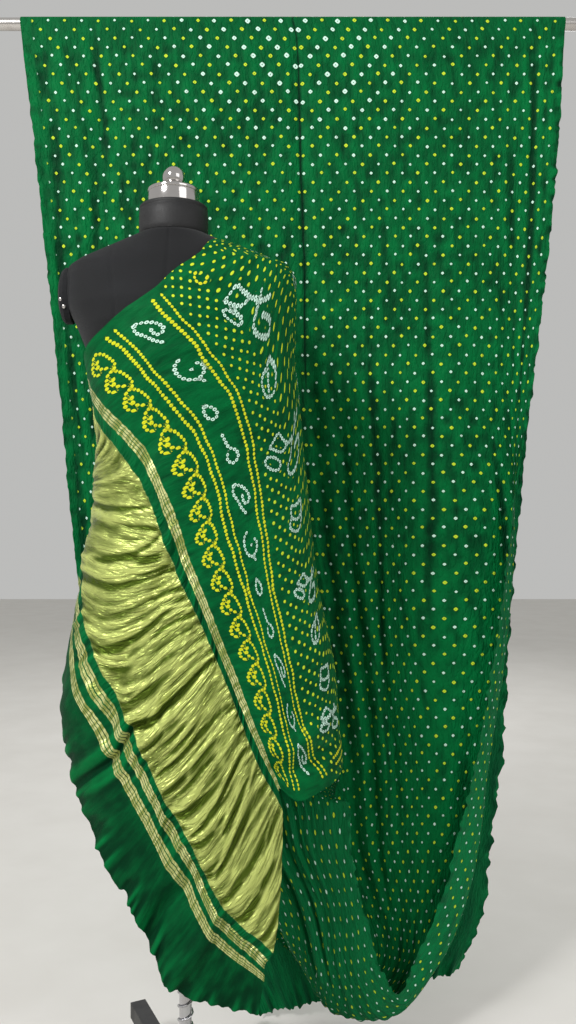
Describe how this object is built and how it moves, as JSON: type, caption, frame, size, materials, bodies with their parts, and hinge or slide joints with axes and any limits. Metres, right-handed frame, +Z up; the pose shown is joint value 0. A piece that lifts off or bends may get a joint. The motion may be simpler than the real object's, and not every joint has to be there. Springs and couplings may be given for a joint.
{
  "type": "bandhani sari over a clothes rail and a dress form",
  "caption": "Tie-dyed sari with a gold tissue end, hung over a straight rail, looped near the floor and draped round a dress form on a wheeled stand.",
  "frame": {"origin": "middle of the rail's axis", "axes": "+X along the rail to the viewer's right, -Y to the front, where the dress form stands, +Z up"},
  "size_m": [1.3006, 0.6204, 2.0848],
  "materials": {
    "sari": "crinkled green silk-cotton with tied yellow and white dots, gold tissue band and gold thread lines",
    "rail_steel": "plain bright steel tube",
    "polished_steel": "polished steel",
    "jersey": "black knitted cover, stretched smooth",
    "base_black": "black satin paint"
  },
  "bodies": {
    "root": {"rail": "rail_steel", "rail_plug_left": "base_black", "rail_plug_right": "base_black", "form_torso": "jersey", "arm_plate_left": "jersey", "arm_plate_right": "jersey", "form_neck": "jersey", "form_ring": "polished_steel", "form_knob": "polished_steel", "stand_pole": "polished_steel", "stand_spring": "polished_steel", "stand_hub": "base_black", "stand_bar_1": "base_black", "wheel_1": "base_black", "wheel_stem_1": "polished_steel", "stand_bar_2": "base_black", "wheel_2": "base_black", "wheel_stem_2": "polished_steel", "stand_bar_3": "base_black", "wheel_3": "base_black", "wheel_stem_3": "polished_steel", "stand_bar_4": "base_black", "wheel_4": "base_black", "wheel_stem_4": "polished_steel", "sari_cloth": "sari"}
  },
  "joints": []
}
